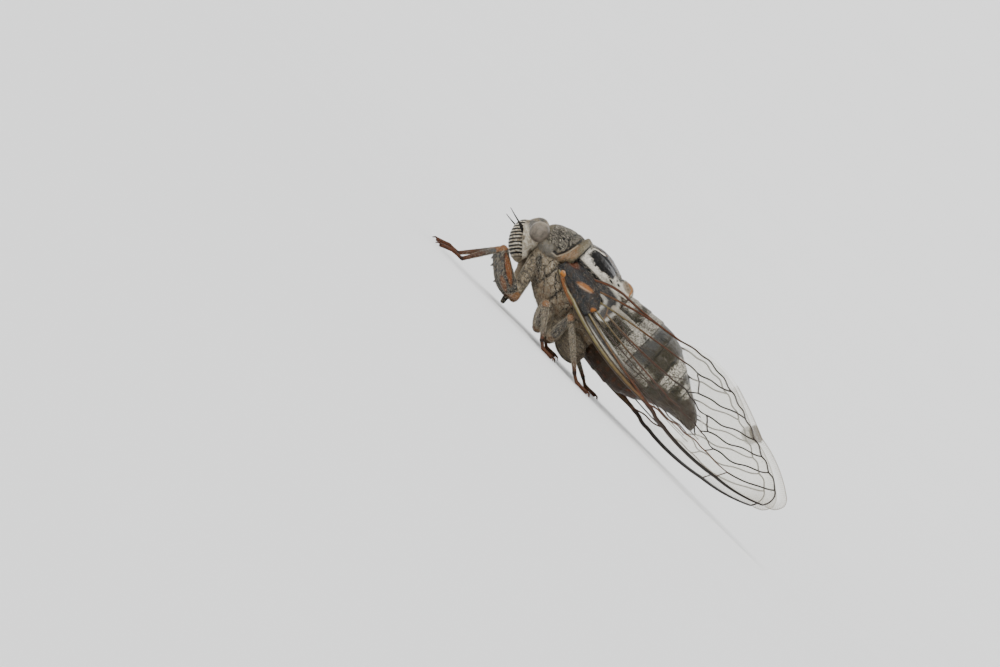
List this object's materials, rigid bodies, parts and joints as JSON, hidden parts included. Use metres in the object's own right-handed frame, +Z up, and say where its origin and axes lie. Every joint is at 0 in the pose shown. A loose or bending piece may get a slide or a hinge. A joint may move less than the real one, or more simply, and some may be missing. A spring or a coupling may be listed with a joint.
{
  "type": "cicada",
  "caption": "Life-size still model of an adult cicada at rest on its feet, clear veined wings folded roof-like over a grey and dark brown body.",
  "frame": {"origin": "centre of the bounding box on the floor plane", "axes": "+X from the head to the wing tips, +Z up; the head points to -X and the insect's left side to -Y"},
  "size_m": [0.0436, 0.0152, 0.0116],
  "materials": {
    "shell_grey": "dull grey-beige shell with short pale down and dark cracks",
    "shell_dark": "satin black-brown shell with silvery dusting along the edges",
    "shell_brown": "satin brown shell with pale joints",
    "eye": "dull grey-brown eye",
    "membrane": "clear membrane with olive and dark brown veins"
  },
  "bodies": {
    "root": {"head": "shell_grey", "clypeus": "shell_dark", "eye_left": "eye", "eye_right": "eye", "antenna_left": "shell_dark", "antenna_right": "shell_dark", "rostrum": "shell_brown", "pronotum": "shell_grey", "mesonotum": "shell_dark", "thorax": "shell_grey", "abdomen": "shell_dark", "abdomen_tip": "shell_dark", "operculum_left": "shell_grey", "operculum_right": "shell_grey", "forewing_left": "membrane", "forewing_right": "membrane", "hindwing_left": "membrane", "hindwing_right": "membrane", "fore_coxa_left": "shell_brown", "fore_coxa_right": "shell_brown", "fore_femur_left": "shell_brown", "fore_femur_right": "shell_brown", "fore_tibia_left": "shell_brown", "fore_tibia_right": "shell_brown", "fore_tarsus_left": "shell_brown", "fore_tarsus_right": "shell_brown", "mid_coxa_left": "shell_brown", "mid_coxa_right": "shell_brown", "mid_femur_left": "shell_brown", "mid_femur_right": "shell_brown", "mid_tibia_left": "shell_brown", "mid_tibia_right": "shell_brown", "mid_tarsus_left": "shell_brown", "mid_tarsus_right": "shell_brown", "hind_coxa_left": "shell_brown", "hind_coxa_right": "shell_brown", "hind_femur_left": "shell_brown", "hind_femur_right": "shell_brown", "hind_tibia_left": "shell_brown", "hind_tibia_right": "shell_brown", "hind_tarsus_left": "shell_brown", "hind_tarsus_right": "shell_brown"}
  },
  "joints": []
}
